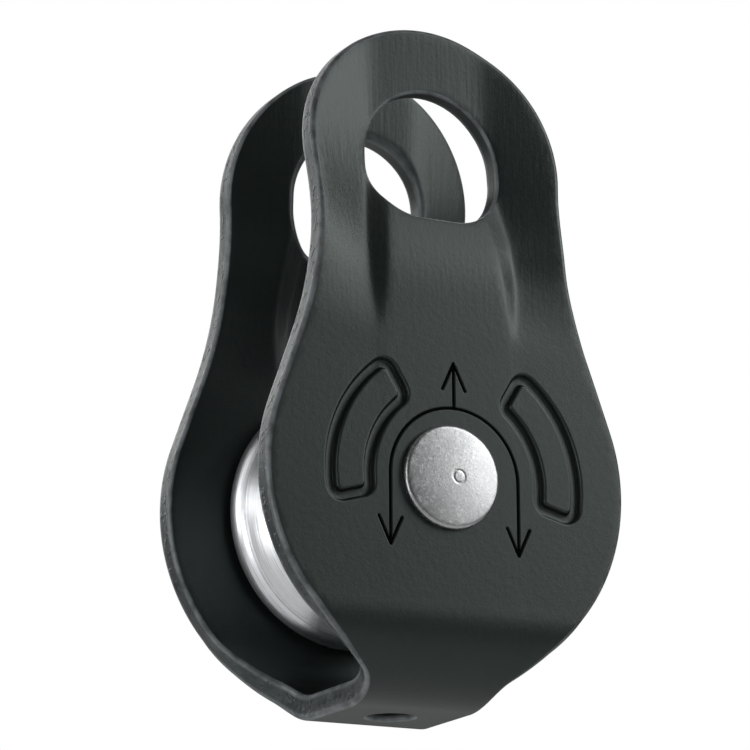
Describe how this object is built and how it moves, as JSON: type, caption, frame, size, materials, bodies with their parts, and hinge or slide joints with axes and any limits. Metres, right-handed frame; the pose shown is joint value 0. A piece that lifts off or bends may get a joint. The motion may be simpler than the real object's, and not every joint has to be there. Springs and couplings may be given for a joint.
{
  "type": "single sheave block",
  "caption": "Fixed side plate pulley block: a metal strip bent into a U carries a plain-bearing sheave on a riveted axle, with an attachment eye through both plates.",
  "frame": {"origin": "centre of the outer face of the strip's closed bottom, midway between the two side plates", "axes": "+Z from the closed bottom up to the attachment eye, +Y along the axle, +X across the plates"},
  "size_m": [0.0452, 0.0324, 0.0802],
  "materials": {
    "plate": "satin black anodised",
    "axle": "satin, fine speckle",
    "sheave": "turned",
    "bush": "sintered bronze",
    "sleeve": "ground",
    "washer": "moulded"
  },
  "bodies": {
    "frame": {"frame": "plate", "axle": "axle", "sleeve": "sleeve"},
    "sheave": {"sheave": "sheave", "bush": "bush"},
    "washer_front": {"washer_front": "washer"},
    "washer_rear": {"washer_rear": "washer"}
  },
  "joints": [
    {"name": "sheave_spin", "type": "hinge", "parent": "frame", "child": "sheave", "pos_m": [0, 0, 0.025], "axis": [0, 1, 0], "continuous": true},
    {"name": "washer_front_spin", "type": "hinge", "parent": "frame", "child": "washer_front", "pos_m": [0, 0, 0.025], "axis": [0, 1, 0], "continuous": true},
    {"name": "washer_rear_spin", "type": "hinge", "parent": "frame", "child": "washer_rear", "pos_m": [0, 0, 0.025], "axis": [0, 1, 0], "continuous": true}
  ]
}
